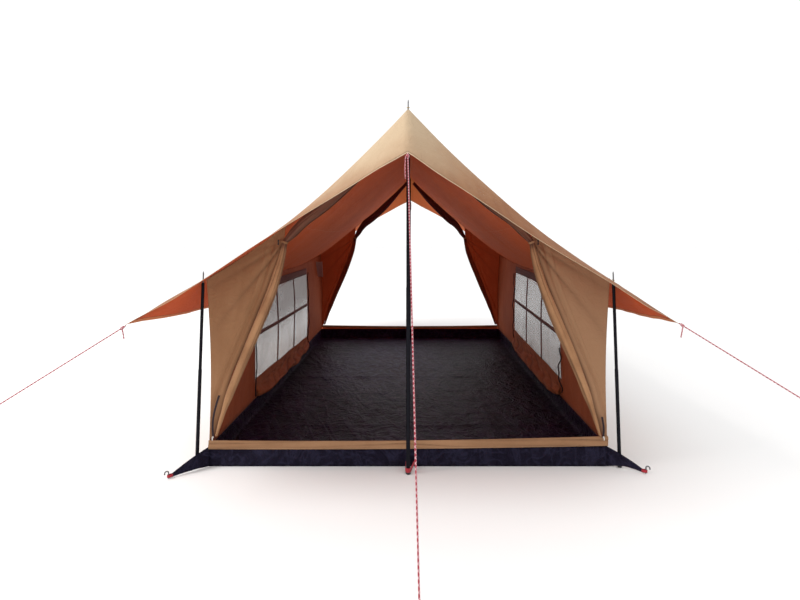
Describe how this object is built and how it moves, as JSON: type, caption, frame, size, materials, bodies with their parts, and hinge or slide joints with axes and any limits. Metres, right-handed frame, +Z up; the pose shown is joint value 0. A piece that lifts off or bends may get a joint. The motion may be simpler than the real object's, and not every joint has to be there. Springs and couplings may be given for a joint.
{
  "type": "cabin tent",
  "caption": "Canvas cabin tent pitched on ridge and corner poles, with overhanging awnings, tied-back doors at both ends, paned mesh side windows, a tub groundsheet and guy lines.",
  "frame": {"origin": "on the ground under the middle of the tent", "axes": "+Z up, -Y towards the front door, +X to the right as seen from the front"},
  "size_m": [5.744, 7.6504, 2.297],
  "materials": {
    "canvas": "sand cotton canvas",
    "ground_cloth": "woven coated black ground cloth",
    "window_mesh": "grey insect mesh",
    "pole_steel": "black coated steel tube",
    "rope_fibre": "red braided rope with a white fleck",
    "webbing": "red webbing",
    "peg_steel": "dark steel"
  },
  "bodies": {
    "root": {"awning_front": "canvas", "awning_rear": "canvas", "corner_pole_front_left": "pole_steel", "corner_pole_front_right": "pole_steel", "corner_pole_rear_left": "pole_steel", "corner_pole_rear_right": "pole_steel", "door_roll_front_left": "canvas", "door_roll_front_right": "canvas", "door_roll_rear_left": "canvas", "door_roll_rear_right": "canvas", "door_sill_front": "canvas", "door_sill_rear": "canvas", "end_wall_front_left": "canvas", "end_wall_front_right": "canvas", "end_wall_rear_left": "canvas", "end_wall_rear_right": "canvas", "foot_strap_front": "webbing", "foot_strap_rear": "webbing", "groundsheet": "ground_cloth", "guy_line_front": "rope_fibre", "guy_line_front_left": "rope_fibre", "guy_line_front_right": "rope_fibre", "guy_line_rear": "rope_fibre", "guy_line_rear_left": "rope_fibre", "guy_line_rear_right": "rope_fibre", "guy_peg_front": "peg_steel", "guy_peg_front_left": "peg_steel", "guy_peg_front_right": "peg_steel", "guy_peg_rear": "peg_steel", "guy_peg_rear_left": "peg_steel", "guy_peg_rear_right": "peg_steel", "main_pole_front": "pole_steel", "main_pole_rear": "pole_steel", "roof_slope_left": "canvas", "roof_slope_right": "canvas", "side_wall_left": "canvas", "side_wall_right": "canvas", "tail_peg_front_left": "peg_steel", "tail_peg_front_right": "peg_steel", "tail_peg_rear_left": "peg_steel", "tail_peg_rear_right": "peg_steel", "window_cover_left": "canvas", "window_cover_right": "canvas", "window_mesh_left": "window_mesh", "window_mesh_right": "window_mesh"}
  },
  "joints": []
}
